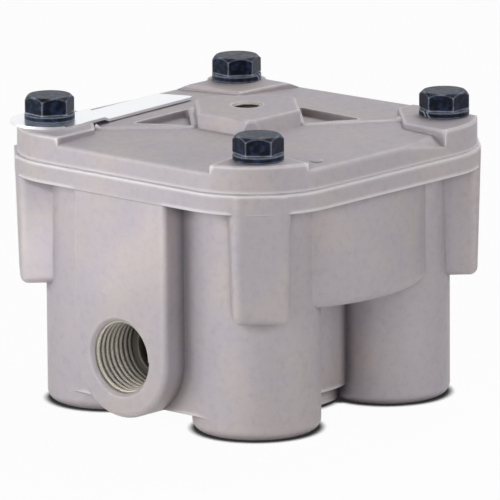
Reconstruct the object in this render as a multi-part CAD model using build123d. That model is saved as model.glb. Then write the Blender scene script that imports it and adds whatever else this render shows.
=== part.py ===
from build123d import *
import math
import os

# Relay valve for an air brake circuit, standing on its four delivery ports.
# Millimetres, +Z up. The origin is on the valve axis, in the plane of the feet.
# The supply port faces -Y. Letters of the four corners: front (+X, -Y),
# left (-X, -Y), right (+X, +Y), back (-X, +Y).

# Heights of the main planes
PARTING_Z = 73.8
PAD_HEIGHT = 8.2
COVER_EDGE_HEIGHT = 6.2
HUB_HEIGHT = 12.2
BODY_FLANGE_THICKNESS = 5.8
CHAMBER_BOTTOM_Z = 36.4
LUG_BOTTOM_Z = 35.7
FLOOR_TOP_Z = 42.0
FLOOR_BOTTOM_Z = 37.0
CORE_BOTTOM_Z = 5.5
CORE_LIP_BOTTOM_Z = 0.8

# Piston chamber
CHAMBER_BORE_DIAMETER = 89.0
CHAMBER_WALL = 8.2
CHAMBER_EDGE_RADIUS = 2.5
BORE_LEAD_IN = 1.2

# Plan of the cover and of the body's flange, measured outwards from the chamber
COVER_OVERHANG = 2.3
COVER_CORNER_CUT = 15.8
OUTLINE_CORNER_RADIUS = 24.0
BODY_STEP = 0.8

# Cap screws and split lock washers
SCREW_INSET = 14.6
SCREW_SHANK_DIAMETER = 7.9
SCREW_SHANK_LENGTH = 32.0
SCREW_HEX_FLATS = 12.7
SCREW_HEAD_HEIGHT = 5.3
SCREW_HEAD_CHAMFER = 1.2
SCREW_HEAD_TOP_INSET = 0.2
SCREW_TIP_CHAMFER = 0.8
SCREW_HOLE_CLEARANCE = 0.1
SCREW_TIP_CLEARANCE = 3.0
WASHER_OUTER_DIAMETER = 14.6
WASHER_THICKNESS = 2.0
WASHER_SPLIT = 0.8
WASHER_SPLIT_ANGLE = 35.0
WASHER_CHAMFER = 0.25
HEX_TURNS = {"front": 42.0, "left": 56.0, "right": 32.0, "back": 52.0}
WASHER_TURNS = {"front": 205.0, "left": 150.0, "right": 265.0, "back": 20.0}

# Corner lugs
LUG_WIDTH = 18.0
LUG_SIDE_RADIUS = 3.3
LUG_BOTTOM_RADIUS = 2.4
LUG_DRAFT = 1.7
LUG_INNER_REACH = 16.0

# Columns with the delivery ports
COLUMN_RADIUS = 18.5
COLUMN_CORE_WALL = 5.71
COLUMN_EDGE_RADIUS = 3.0
DELIVERY_PORT_DIAMETER = 17.1
DELIVERY_PORT_DEPTH = 16.0
DELIVERY_PASSAGE_DIAMETER = 10.0
DELIVERY_PASSAGE_INSET = 1.4
PORT_CHAMFER = 0.9

# Core round the inlet and exhaust valve
CORE_RADIUS = 30.4
CORE_LIP_RADIUS = 27.3
CORE_BORE_DIAMETER = 49.2
CORE_BORE_TOP_Z = 33.0
INLET_HOLE_DIAMETER = 22.0
INLET_LIP_WIDTH = 1.3
INLET_LIP_HEIGHT = 1.2
INLET_RECESS_MARGIN = 4.0

# Supply port and its panel
SUPPLY_PORT_Z = 20.9
SUPPLY_PORT_DIAMETER = 21.0
SUPPLY_PORT_DEPTH = 16.0
SUPPLY_PORT_MOUTH = 23.2
SUPPLY_PASSAGE_DIAMETER = 14.8
SUPPLY_PASSAGE_END = 10.0
PANEL_PROUD = 0.4
PANEL_HALF_WIDTH = 17.7
PANEL_EDGE_RADIUS = 1.6
PANEL_SQUARE_EDGE_LENGTH = 5.0

# Cover
COVER_SHELL = 4.2
COVER_SPIGOT_DEPTH = 2.4
COVER_SPIGOT_CLEARANCE = 0.15
COVER_SPIGOT_WALL = 3.0
ROOF_RISE = 1.4
ROOF_CREST_HALF = 20.0
ROOF_INSET = 0.4
COVER_EDGE_ROUND = 1.1
PAD_EDGE_ROUND = 0.5
BACK_PAD_ROUND = 0.8
FRONT_PAD_INNER_VERTEX = 42.0
FRONT_PAD_REACH = 34.8
SIDE_PAD_REACH = 23.6
SIDE_PAD_CUT = 44.5
BACK_PAD_REACH = 24.0
BACK_PAD_INNER_VERTEX = 37.0
SEAT_MARGIN = 1.4
FAR_BEVEL_INSET = 9.4
FAR_BEVEL_DROP = 4.4
FAR_BEVEL_EASE_LEFT = 0.4
FAR_BEVEL_EASE_RIGHT = 2.2
NEAR_BEVEL_START = 2.0
NEAR_BEVEL_WIDTH = 5.5
NEAR_BEVEL_DEPTH = 3.0
HUB_HALF_SIDE = 16.3
HUB_CORNER_CUT = 14.8
HUB_BACK_CUT = 14.0
HUB_DRAFT = 20.0
HUB_FRONT_CUT = 22.2
HUB_EDGE_ROUND = 0.7
POCKET_DEPTH = 2.4
POCKET_HUB_GAP = 0.6
POCKET_FRONT = 6.5
POCKET_BACK = -19.0
POCKET_REACH = 33.0
POCKET_ROUND = 1.2
CONTROL_PORT_DIAMETER = 8.4
CONTROL_PORT_DEPTH = 10.0
CONTROL_PORT_CHAMFER = 0.4
CONTROL_PASSAGE_DIAMETER = 5.0
COVER_STOP_DIAMETER = 24.0
EJECTOR_MARK_DIAMETER = 3.8
EJECTOR_MARK_HEIGHT = 0.25
EJECTOR_MARK_INSET = 6.6
EJECTOR_MARK_Y = -24.5

# Cover seal ring in the groove on the body's top face
SEAL_GROOVE_WALL = 1.0
SEAL_GROOVE_WIDTH = 2.6
SEAL_GROOVE_DEPTH = 1.9

# Identification tag under the left screw
TAG_THICKNESS = 0.8
TAG_EYE_DIAMETER = 23.0
TAG_STRIP_WIDTH = 11.6
TAG_STRIP_OFFSET = 5.4
TAG_STRIP_END = 50.0
TAG_STRIP_END_ANGLE = 17.0
TAG_TURN = 4.0
TAG_BEND_GAP = 1.1
TAG_BEND_LENGTH = 2.0
TAG_BEND_SKEW = 0.55
TAG_CORNER_RADIUS = 1.5
TAG_ROOF_GAP = 0.1

# Relay piston
PISTON_CLEARANCE = 0.4
PISTON_BOTTOM_Z = 59.0
PISTON_THICKNESS = 10.0
PISTON_SKIRT_WALL = 6.5
PISTON_WEB_THICKNESS = 4.0
PISTON_STOP_GAP = 0.5
PISTON_BOSS_DIAMETER = 20.0
PISTON_RIB_COUNT = 6
PISTON_RIB_THICKNESS = 2.6
PISTON_RIB_DROP = 2.0
PISTON_STEM_DIAMETER = 18.0
PISTON_STEM_RECESS_DIAMETER = 12.0
PISTON_STEM_RECESS_DEPTH = 12.0
EXHAUST_LIP_WIDTH = 1.2
EXHAUST_LIP_HEIGHT = 1.5
EXHAUST_LAP = 1.6
O_RING_CORD = 3.2
O_RING_RUNNING_GAP = 0.05
O_RING_SEAT_GAP = 0.02
O_RING_SIDE_GAP = 0.2

# Inlet and exhaust valve with its spring
VALVE_SEAT_GAP = 0.05
VALVE_FACE_THICKNESS = 2.2
VALVE_FACE_RADIUS = 13.6
VALVE_FLANGE_THICKNESS = 2.4
VALVE_TUBE_DIAMETER = 13.6
VALVE_TUBE_BORE = 10.0
VALVE_TUBE_BOTTOM_Z = 12.4
VALVE_GUIDE_CLEARANCE = 0.1
VALVE_TUBE_CHAMFER = 0.6
VALVE_FACE_INSET = 0.4
VALVE_FACE_ROUND = 0.5
RETAINER_THICKNESS = 1.0
RETAINER_DIAMETER = 25.6
RETAINER_WALL = 1.0
RETAINER_LIP_HEIGHT = 2.0
RETAINER_LIP_DROP = 0.1
SPRING_WIRE = 1.6
SPRING_OUTER_DIAMETER = 23.2
SPRING_TURNS = 4.0
SPRING_END_GAP = 0.02

# Exhaust cover, its rings, diaphragm and screw
EXHAUST_COVER_BOTTOM_Z = 3.4
EXHAUST_COVER_TOP_Z = 12.2
EXHAUST_COVER_CLEARANCE = 0.08
EXHAUST_GUIDE_DIAMETER = 18.8
EXHAUST_GUIDE_TOP_Z = 21.5
GUIDE_O_RING_Z = 17.2
GUIDE_O_RING_CORD = 1.6
COVER_O_RING_CORD = 2.4
COVER_O_RING_Z = 8.4
SMALL_RING_SIDE_GAP = 0.1
EXHAUST_COVER_CHAMFER = 0.6
EXHAUST_RECESS_DIAMETER = 41.0
EXHAUST_RECESS_DEPTH = 2.2
EXHAUST_BORE_DIAMETER = 25.0
EXHAUST_GALLERY_HEIGHT = 1.2
EXHAUST_SPIDER_THICKNESS = 3.0
EXHAUST_SPIDER_ARMS = 4
EXHAUST_SPIDER_ARM_WIDTH = 2.6
EXHAUST_SPIDER_ARM_TURN = 45.0
EXHAUST_SPIDER_HUB_DIAMETER = 9.0
RETAINING_RING_THICKNESS = 1.3
RETAINING_RING_GROOVE_DEPTH = 1.3
RETAINING_RING_WIDTH = 3.0
RETAINING_RING_CLEARANCE = 0.1
RETAINING_RING_SEAT_GAP = 0.02
RETAINING_RING_GAP = 9.0
RETAINING_RING_EAR_DIAMETER = 5.0
RETAINING_RING_EAR_HOLE = 1.8
DIAPHRAGM_DIAMETER = 34.0
DIAPHRAGM_THICKNESS = 1.4
DIAPHRAGM_SCREW_DIAMETER = 3.9
DIAPHRAGM_SCREW_LENGTH = 4.8
DIAPHRAGM_SCREW_HEAD_DIAMETER = 7.4
DIAPHRAGM_SCREW_HEAD_HEIGHT = 1.5
DIAPHRAGM_SCREW_HEAD_ROUND = 1.0
DIAPHRAGM_SCREW_SLOT_WIDTH = 1.1
DIAPHRAGM_SCREW_SLOT_DEPTH = 0.7
DIAPHRAGM_WASHER_DIAMETER = 12.0
DIAPHRAGM_WASHER_THICKNESS = 0.7
DIAPHRAGM_HOLE_CLEARANCE = 0.05

# Corners, as signs of X and Y
CORNERS = {"front": (1, -1), "left": (-1, -1), "right": (1, 1), "back": (-1, 1)}

# How far a cut runs past a face, and how far joined volumes run into each other
OVERCUT = 1.0
OVERLAP = 0.5

# Values worked out from those above
CHAMBER_RADIUS = CHAMBER_BORE_DIAMETER / 2 + CHAMBER_WALL
COVER_HALF_WIDTH = CHAMBER_RADIUS + COVER_OVERHANG
COVER_CORNER_REACH = (2 * COVER_HALF_WIDTH - COVER_CORNER_CUT) / math.sqrt(2)
SCREW_SQUARE = COVER_HALF_WIDTH - SCREW_INSET
SCREW_HOLE_RADIUS = SCREW_SHANK_DIAMETER / 2 + SCREW_HOLE_CLEARANCE
PANEL_FACE = COVER_HALF_WIDTH + PANEL_PROUD
PAD_Z = PARTING_Z + PAD_HEIGHT
COVER_EDGE_Z = PARTING_Z + COVER_EDGE_HEIGHT
HUB_TOP_Z = PARTING_Z + HUB_HEIGHT
FLANGE_BOTTOM_Z = PARTING_Z - BODY_FLANGE_THICKNESS
BORE_RADIUS = CHAMBER_BORE_DIAMETER / 2
PISTON_RADIUS = BORE_RADIUS - PISTON_CLEARANCE
PISTON_TOP_Z = PISTON_BOTTOM_Z + PISTON_THICKNESS
COVER_CEILING_Z = COVER_EDGE_Z - COVER_SHELL
CORE_BORE_RADIUS = CORE_BORE_DIAMETER / 2
CORE_GROOVE_RADIUS = CORE_BORE_RADIUS + RETAINING_RING_GROOVE_DEPTH
COLUMN_SQUARE = (CORE_GROOVE_RADIUS + COLUMN_CORE_WALL + DELIVERY_PORT_DIAMETER / 2) / math.sqrt(2)
INLET_LIP_Z = CORE_BORE_TOP_Z + INLET_LIP_HEIGHT
VALVE_FACE_TOP_Z = INLET_LIP_Z - VALVE_SEAT_GAP
VALVE_FACE_BOTTOM_Z = VALVE_FACE_TOP_Z - VALVE_FACE_THICKNESS
VALVE_FLANGE_BOTTOM_Z = VALVE_FACE_BOTTOM_Z - VALVE_FLANGE_THICKNESS
EXHAUST_LIP_Z = VALVE_FACE_TOP_Z + EXHAUST_LAP
PISTON_RING_Z = PISTON_BOTTOM_Z + PISTON_THICKNESS / 2
DIAPHRAGM_TOP_Z = EXHAUST_COVER_BOTTOM_Z + EXHAUST_RECESS_DEPTH
RETAINING_RING_GROOVE_Z = EXHAUST_COVER_BOTTOM_Z - RETAINING_RING_THICKNESS - RETAINING_RING_CLEARANCE
DIAPHRAGM_HOLE_RADIUS = DIAPHRAGM_SCREW_DIAMETER / 2 + DIAPHRAGM_HOLE_CLEARANCE
SEAL_GROOVE_RADIUS = BORE_RADIUS + BORE_LEAD_IN + SEAL_GROOVE_WALL
UPWARDS = (Align.CENTER, Align.CENTER, Align.MIN)


def disc(radius, bottom, top, x=0.0, y=0.0):
    """Upright cylinder between two heights."""
    return Pos(x, y, bottom) * Cylinder(radius, top - bottom, align=UPWARDS)


def ring(inner, outer, bottom, top):
    """Upright tube between two heights."""
    return disc(outer, bottom, top) - disc(inner, bottom, top)


def prism(points, bottom, top, taper=0.0):
    """Upright prism on a closed outline of plan points, its walls leaning in upwards."""
    face = make_face(Polyline(*points, close=True))
    return Pos(0, 0, bottom) * extrude(face, top - bottom, taper=taper)


def cone(bottom_radius, top_radius, bottom, top, x=0.0, y=0.0):
    """Upright cone between two heights."""
    return Pos(x, y, bottom) * Cone(bottom_radius, top_radius, top - bottom, align=UPWARDS)


def outline(offset, bottom, top):
    """Square with cut and rounded corners, raised between two heights, offset from the cover's edge."""
    half_width = COVER_HALF_WIDTH + offset
    cut = (COVER_CORNER_REACH + offset) * math.sqrt(2) - half_width
    points = []
    for sx, sy in ((1, -1), (1, 1), (-1, 1), (-1, -1)):
        pair = [(sx * cut, sy * half_width), (sx * half_width, sy * cut)]
        points += pair if sx * sy < 0 else pair[::-1]
    face = make_face(Polyline(*points, close=True))
    return Pos(0, 0, bottom) * extrude(fillet(face.vertices(), OUTLINE_CORNER_RADIUS), top - bottom)


def diagonal(along_front, along_right):
    """Plan point given along the diagonals to the front and to the right corner."""
    return ((along_front + along_right) / math.sqrt(2), (along_right - along_front) / math.sqrt(2))


def o_ring(centre_radius, cord, z):
    """Round-section ring about the valve axis."""
    return Pos(0, 0, z) * Torus(centre_radius, cord / 2)


def edges_at(solid, z, tolerance=0.01):
    """Edges of a solid that lie in one level plane."""
    def level(edge):
        box = edge.bounding_box()
        return abs(box.min.Z - z) < tolerance and abs(box.max.Z - z) < tolerance
    return solid.edges().filter_by(level)


def corner_lug(sx, sy):
    """Lug that takes a cap screw, tapering downwards, rounded at its foot."""
    start = SCREW_SQUARE * math.sqrt(2) - LUG_INNER_REACH
    reach = COVER_CORNER_REACH + BODY_STEP
    middle = (start + reach) / 2
    face = RectangleRounded(reach - start, LUG_WIDTH, LUG_SIDE_RADIUS)
    lug = extrude(Plane.XY * Pos(middle, 0) * face, LUG_BOTTOM_Z - PARTING_Z, taper=LUG_DRAFT)
    lug = fillet(edges_at(lug, LUG_BOTTOM_Z - PARTING_Z), LUG_BOTTOM_RADIUS)
    return Pos(0, 0, PARTING_Z) * Rot(0, 0, math.degrees(math.atan2(sy, sx))) * lug


def supply_panel():
    """Flat panel round the supply port, from the flange down to a half-round lobe."""
    height = FLANGE_BOTTOM_Z + OVERLAP - SUPPLY_PORT_Z
    upper = Pos(0, height / 2) * Rectangle(2 * PANEL_HALF_WIDTH, height)
    depth = PANEL_FACE - CORE_RADIUS / 2
    panel = extrude(Circle(PANEL_HALF_WIDTH) + upper, depth)
    front = panel.faces().sort_by(Axis.Z)[-1]
    round_up_to = height - PANEL_SQUARE_EDGE_LENGTH
    below_flange = front.edges().filter_by(lambda e: e.bounding_box().min.Y < round_up_to)
    panel = fillet(below_flange, PANEL_EDGE_RADIUS)
    return Pos(0, -PANEL_FACE + depth, SUPPLY_PORT_Z) * Rot(90, 0, 0) * panel


def panel_recess(side):
    """Hollow beside the supply panel, where the chamber's wall is flush with the front of a column."""
    face = COLUMN_SQUARE + COLUMN_RADIUS
    width = COLUMN_SQUARE - PANEL_HALF_WIDTH
    middle = side * (PANEL_HALF_WIDTH + width / 2)
    return Pos(middle, -face, CHAMBER_BOTTOM_Z - OVERCUT) * Box(
        width, PANEL_FACE - face + OVERCUT, FLANGE_BOTTOM_Z - CHAMBER_BOTTOM_Z + OVERCUT,
        align=(Align.CENTER, Align.MAX, Align.MIN)
    )


def panel_web(side):
    """Wall from the supply panel to the front of a column."""
    face = COLUMN_SQUARE + COLUMN_RADIUS
    return Pos(side * COLUMN_SQUARE / 2, -face, CORE_BOTTOM_Z) * Box(
        COLUMN_SQUARE, COLUMN_RADIUS, FLANGE_BOTTOM_Z - CORE_BOTTOM_Z,
        align=(Align.CENTER, Align.MIN, Align.MIN)
    )


def body():
    """Cast body: flange, piston chamber, lugs, port columns, valve core and port panel."""
    chamber = disc(CHAMBER_RADIUS, CHAMBER_BOTTOM_Z, PARTING_Z)
    shape = fillet(edges_at(chamber, CHAMBER_BOTTOM_Z), CHAMBER_EDGE_RADIUS)
    for side in (1, -1):
        shape -= panel_recess(side)
        shape += panel_web(side)
    shape += outline(BODY_STEP, FLANGE_BOTTOM_Z, PARTING_Z)
    for sx, sy in CORNERS.values():
        column = disc(COLUMN_RADIUS, 0, FLANGE_BOTTOM_Z + OVERLAP, sx * COLUMN_SQUARE, sy * COLUMN_SQUARE)
        shape += fillet(edges_at(column, 0), COLUMN_EDGE_RADIUS)
        shape += corner_lug(sx, sy)
    shape += disc(CORE_RADIUS, CORE_BOTTOM_Z, CHAMBER_BOTTOM_Z + OVERLAP)
    shape += disc(CORE_LIP_RADIUS, CORE_LIP_BOTTOM_Z, CORE_BOTTOM_Z + OVERLAP)
    shape += supply_panel()
    shape -= disc(BORE_RADIUS, FLOOR_TOP_Z, PARTING_Z + OVERCUT)
    shape -= cone(BORE_RADIUS, BORE_RADIUS + BORE_LEAD_IN, PARTING_Z - BORE_LEAD_IN, PARTING_Z)
    shape -= disc(CORE_BORE_RADIUS, CORE_LIP_BOTTOM_Z - OVERCUT, CORE_BORE_TOP_Z)
    inlet_radius = INLET_HOLE_DIAMETER / 2
    shape -= disc(inlet_radius, CORE_BORE_TOP_Z - OVERCUT, FLOOR_TOP_Z + OVERCUT)
    lip_radius = inlet_radius + INLET_LIP_WIDTH
    shape -= ring(lip_radius, VALVE_FACE_RADIUS + INLET_RECESS_MARGIN, CORE_BORE_TOP_Z, FLOOR_BOTTOM_Z)
    shape -= disc(lip_radius + OVERLAP, CORE_BORE_TOP_Z - OVERCUT, INLET_LIP_Z)
    shape -= disc(CORE_GROOVE_RADIUS, RETAINING_RING_GROOVE_Z, EXHAUST_COVER_BOTTOM_Z)
    shape -= ring(SEAL_GROOVE_RADIUS, SEAL_GROOVE_RADIUS + SEAL_GROOVE_WIDTH,
                  PARTING_Z - SEAL_GROOVE_DEPTH, PARTING_Z + OVERCUT)
    screw_bottom = PAD_Z + WASHER_THICKNESS - SCREW_SHANK_LENGTH - SCREW_TIP_CLEARANCE
    port_radius = DELIVERY_PORT_DIAMETER / 2
    passage_radius = DELIVERY_PASSAGE_DIAMETER / 2
    for sx, sy in CORNERS.values():
        x, y = sx * COLUMN_SQUARE, sy * COLUMN_SQUARE
        shape -= disc(port_radius, -OVERCUT, DELIVERY_PORT_DEPTH, x, y)
        shape -= cone(port_radius + PORT_CHAMFER, port_radius, 0, PORT_CHAMFER, x, y)
        x, y = x - sx * DELIVERY_PASSAGE_INSET, y - sy * DELIVERY_PASSAGE_INSET
        shape -= disc(passage_radius, DELIVERY_PORT_DEPTH - OVERCUT, FLOOR_TOP_Z + OVERCUT, x, y)
        x, y = sx * SCREW_SQUARE, sy * SCREW_SQUARE
        shape -= disc(SCREW_HOLE_RADIUS, screw_bottom, PARTING_Z + OVERCUT, x, y)
    port_radius = SUPPLY_PORT_DIAMETER / 2
    mouth_radius = SUPPLY_PORT_MOUTH / 2
    port = disc(port_radius, -OVERCUT, SUPPLY_PORT_DEPTH)
    port += cone(mouth_radius, port_radius, 0, mouth_radius - port_radius)
    port += disc(SUPPLY_PASSAGE_DIAMETER / 2, 0, PANEL_FACE - SUPPLY_PASSAGE_END)
    return shape - Pos(0, -PANEL_FACE, SUPPLY_PORT_Z) * Rot(-90, 0, 0) * port


def pad(corner, reach, inner, edge_round):
    """Raised pad under a cap screw, by its reach along the sides and its inner corners in plan."""
    sx, sy = CORNERS[corner]
    half = COVER_HALF_WIDTH + OVERCUT
    plan = [(half, reach)] + inner + [(reach, half), (half, half)]
    solid = prism([(sx * x, sy * y) for x, y in plan], PARTING_Z, PAD_Z)
    return fillet(edges_at(solid & outline(0, PARTING_Z, PAD_Z), PAD_Z), edge_round)


def pads():
    """The four screw pads: the front one narrows outwards, the back one is square, two have a cut corner."""
    tip = FRONT_PAD_INNER_VERTEX / math.sqrt(2)
    front = pad("front", FRONT_PAD_REACH, [(tip, tip)], PAD_EDGE_ROUND)
    tip = BACK_PAD_INNER_VERTEX / math.sqrt(2)
    back = pad("back", BACK_PAD_REACH, [(tip, tip)], BACK_PAD_ROUND)
    cut = SIDE_PAD_CUT * math.sqrt(2) - SIDE_PAD_REACH
    inner = [(cut, SIDE_PAD_REACH), (SIDE_PAD_REACH, cut)]
    left = pad("left", SIDE_PAD_REACH, inner, PAD_EDGE_ROUND)
    return front + back + left + pad("right", SIDE_PAD_REACH, inner, PAD_EDGE_ROUND)


def hub():
    """Raised hub round the control port, its corners cut off."""
    top = HUB_TOP_Z - COVER_EDGE_Z + OVERCUT
    spread = top * math.tan(math.radians(HUB_DRAFT))
    side = 2 * (HUB_HALF_SIDE + spread)
    shape = extrude(Rectangle(side, side), top, taper=HUB_DRAFT)
    length = HUB_FRONT_CUT + HUB_BACK_CUT
    plan = Pos(HUB_FRONT_CUT - length / 2, 0) * Rectangle(length, 2 * HUB_CORNER_CUT)
    shape = shape & Rot(0, 0, -45) * extrude(plan, top)
    return Pos(0, 0, COVER_EDGE_Z - OVERCUT) * fillet(edges_at(shape, top), HUB_EDGE_ROUND)


def pocket(side):
    """Shallow three-cornered pocket in the roof beside the hub."""
    near = side * (HUB_CORNER_CUT + POCKET_HUB_GAP)
    points = [diagonal(POCKET_FRONT, near), diagonal(POCKET_BACK, near), diagonal(0, side * POCKET_REACH)]
    shape = prism(points, COVER_EDGE_Z + ROOF_RISE - POCKET_DEPTH, HUB_TOP_Z)
    return fillet(shape.edges().filter_by(Axis.Z), POCKET_ROUND)


def far_bevel(ease):
    """Wedge that slopes the cover's +Y side down, less by the ease towards the right corner."""
    inner, outer = COVER_HALF_WIDTH - FAR_BEVEL_INSET, COVER_HALF_WIDTH + OVERCUT
    low = PAD_Z - FAR_BEVEL_DROP * (outer - inner) / FAR_BEVEL_INSET
    ends = []
    for x, lift in ((-COVER_HALF_WIDTH, 0), (COVER_HALF_WIDTH, ease)):
        points = [(x, inner, PAD_Z), (x, outer, low + lift), (x, outer, HUB_TOP_Z), (x, inner, HUB_TOP_Z)]
        ends.append(make_face(Polyline(*points, close=True)))
    return loft(ends, ruled=True)


def near_bevel():
    """Three-sided cut on the +X edge that widens towards the right pad."""
    x, z = COVER_HALF_WIDTH, COVER_EDGE_Z
    inner, top = x - NEAR_BEVEL_WIDTH, z + ROOF_RISE
    low = z - NEAR_BEVEL_DEPTH * (NEAR_BEVEL_WIDTH + OVERCUT) / NEAR_BEVEL_WIDTH
    points = [(inner, SIDE_PAD_REACH, z + ROOF_RISE / 2), (x + OVERCUT, SIDE_PAD_REACH, low),
              (x + OVERCUT, SIDE_PAD_REACH, top), (inner, SIDE_PAD_REACH, top)]
    end = make_face(Polyline(*points, close=True))
    return loft([end, Vertex(x, NEAR_BEVEL_START, z)], ruled=True)


def cover():
    """Cast cover: sloped roof, screw pads, pockets beside the hub, spigot and control port."""
    shape = outline(0, PARTING_Z, COVER_EDGE_Z)
    shape = fillet(edges_at(shape, COVER_EDGE_Z), COVER_EDGE_ROUND)
    low = outline(-COVER_EDGE_ROUND - ROOF_INSET, 0, 1).faces().sort_by(Axis.Z)[0]
    crest = ROOF_CREST_HALF
    high = RectangleRounded(2 * crest, 2 * crest, crest / 3)
    shape += loft([Pos(0, 0, COVER_EDGE_Z - ROOF_INSET / 2) * low,
                   Pos(0, 0, COVER_EDGE_Z + ROOF_RISE) * high])
    shape += pads()
    shape -= far_bevel(FAR_BEVEL_EASE_RIGHT)
    shape -= mirror(far_bevel(FAR_BEVEL_EASE_LEFT), about=Plane(origin=(0, 0, 0), z_dir=(1, 1, 0)))
    shape -= near_bevel()
    seat_radius = WASHER_OUTER_DIAMETER / 2 + SEAT_MARGIN
    shape += disc(seat_radius, PARTING_Z, PAD_Z, -SCREW_SQUARE, SCREW_SQUARE)
    shape += hub()
    for side in (1, -1):
        shape -= pocket(side)
    mark_x = COVER_HALF_WIDTH - EJECTOR_MARK_INSET
    mark_top = COVER_EDGE_Z + EJECTOR_MARK_HEIGHT
    shape += disc(EJECTOR_MARK_DIAMETER / 2, PARTING_Z, mark_top, mark_x, EJECTOR_MARK_Y)
    spigot_outer = BORE_RADIUS - COVER_SPIGOT_CLEARANCE
    spigot_inner = spigot_outer - COVER_SPIGOT_WALL
    shape -= disc(spigot_inner, PARTING_Z - OVERCUT, COVER_CEILING_Z)
    shape += ring(spigot_inner, spigot_outer, PARTING_Z - COVER_SPIGOT_DEPTH, PARTING_Z + OVERLAP)
    stop_bottom = PISTON_TOP_Z + PISTON_STOP_GAP
    shape += disc(COVER_STOP_DIAMETER / 2, stop_bottom, COVER_CEILING_Z + OVERLAP)
    port_radius = CONTROL_PORT_DIAMETER / 2
    shape -= disc(port_radius, HUB_TOP_Z - CONTROL_PORT_DEPTH, HUB_TOP_Z + OVERCUT)
    mouth_radius = port_radius + CONTROL_PORT_CHAMFER
    shape -= cone(port_radius, mouth_radius, HUB_TOP_Z - CONTROL_PORT_CHAMFER, HUB_TOP_Z)
    shape -= disc(CONTROL_PASSAGE_DIAMETER / 2, stop_bottom - OVERCUT, HUB_TOP_Z)
    for sx, sy in CORNERS.values():
        x, y = sx * SCREW_SQUARE, sy * SCREW_SQUARE
        shape -= disc(SCREW_HOLE_RADIUS, PARTING_Z - OVERCUT, PAD_Z + OVERCUT, x, y)
    return shape


def cap_screw(corner):
    """Hex cap screw with a chamfered head, standing on its lock washer."""
    sx, sy = CORNERS[corner]
    head = extrude(RegularPolygon(SCREW_HEX_FLATS / 2, 6, major_radius=False), SCREW_HEAD_HEIGHT)
    corner_radius = SCREW_HEX_FLATS / 2 / math.cos(math.radians(30))
    top_radius = SCREW_HEX_FLATS / 2 - SCREW_HEAD_TOP_INSET
    shoulder = SCREW_HEAD_HEIGHT - SCREW_HEAD_CHAMFER
    envelope = disc(corner_radius, 0, shoulder) + cone(corner_radius, top_radius, shoulder, SCREW_HEAD_HEIGHT)
    shank = disc(SCREW_SHANK_DIAMETER / 2, -SCREW_SHANK_LENGTH, OVERLAP)
    shank = chamfer(edges_at(shank, -SCREW_SHANK_LENGTH), SCREW_TIP_CHAMFER)
    place = Pos(sx * SCREW_SQUARE, sy * SCREW_SQUARE, seat_z(corner) + WASHER_THICKNESS)
    return place * Rot(0, 0, HEX_TURNS[corner]) * ((head & envelope) + shank)


def seat_z(corner):
    """Height on which a lock washer lies: the pad, or the tag on the left pad."""
    return PAD_Z + (TAG_THICKNESS if corner == "left" else 0)


def lock_washer(corner):
    """Split lock washer, pressed flat, its slanted cut still open."""
    sx, sy = CORNERS[corner]
    washer = ring(SCREW_HOLE_RADIUS, WASHER_OUTER_DIAMETER / 2, 0, WASHER_THICKNESS)
    outer_edges = washer.edges().filter_by(GeomType.CIRCLE).sort_by(lambda e: e.radius)[-2:]
    washer = chamfer(outer_edges, WASHER_CHAMFER)
    cut = Box(WASHER_OUTER_DIAMETER, WASHER_SPLIT, 3 * WASHER_THICKNESS)
    cut = Pos(WASHER_OUTER_DIAMETER / 2, 0, WASHER_THICKNESS / 2) * Rot(WASHER_SPLIT_ANGLE, 0, 0) * cut
    place = Pos(sx * SCREW_SQUARE, sy * SCREW_SQUARE, seat_z(corner)) * Rot(0, 0, WASHER_TURNS[corner])
    return place * (washer - cut)


def id_tag():
    """Thin blank tag: an eye under the left screw and a strip bent down onto the roof."""
    inner_edge = SCREW_SQUARE - TAG_STRIP_OFFSET - TAG_STRIP_WIDTH / 2
    slope = ROOF_RISE / (COVER_HALF_WIDTH - COVER_EDGE_ROUND - ROOF_INSET - ROOF_CREST_HALF)
    roof_z = COVER_EDGE_Z + slope * (COVER_HALF_WIDTH - inner_edge)
    drop = PAD_Z - roof_z - TAG_ROOF_GAP
    width = TAG_STRIP_WIDTH
    beyond = TAG_STRIP_END + 2 * width
    bend_start = SCREW_SQUARE - SIDE_PAD_REACH + TAG_BEND_GAP
    under = [(0, 0), (bend_start, 0), (bend_start + TAG_BEND_LENGTH, -drop), (beyond, -drop)]
    top = [(y, z + TAG_THICKNESS) for y, z in under]
    side = make_face(Polyline(*top, *under[::-1], close=True))
    slant = math.hypot(1, TAG_BEND_SKEW)
    strip = extrude(Plane.YZ * side, width * slant, dir=(1, -TAG_BEND_SKEW, 0))
    end_cut = Pos(0, TAG_STRIP_END, 0) * Rot(0, 0, TAG_STRIP_END_ANGLE) * Box(
        4 * width, 4 * width, 4 * width, align=(Align.CENTER, Align.MIN, Align.CENTER)
    )
    strip -= end_cut
    far_corners = strip.edges().filter_by(Axis.Z).sort_by(Axis.Y)[-2:]
    strip = Pos(TAG_STRIP_OFFSET - width / 2, 0, 0) * fillet(far_corners, TAG_CORNER_RADIUS)
    tag = disc(TAG_EYE_DIAMETER / 2, 0, TAG_THICKNESS) + strip
    tag -= disc(SCREW_HOLE_RADIUS, -OVERCUT, TAG_THICKNESS + OVERCUT)
    return Pos(-SCREW_SQUARE, -SCREW_SQUARE, PAD_Z) * Rot(0, 0, TAG_TURN) * tag


def cover_seal_ring():
    """Rubber ring squeezed into the groove between cover and body."""
    gap = O_RING_SEAT_GAP
    inner = SEAL_GROOVE_RADIUS + gap
    outer = SEAL_GROOVE_RADIUS + SEAL_GROOVE_WIDTH - gap
    shape = ring(inner, outer, PARTING_Z - SEAL_GROOVE_DEPTH + gap, PARTING_Z - gap)
    return fillet(shape.edges().filter_by(GeomType.CIRCLE), SEAL_GROOVE_DEPTH / 4)


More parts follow.
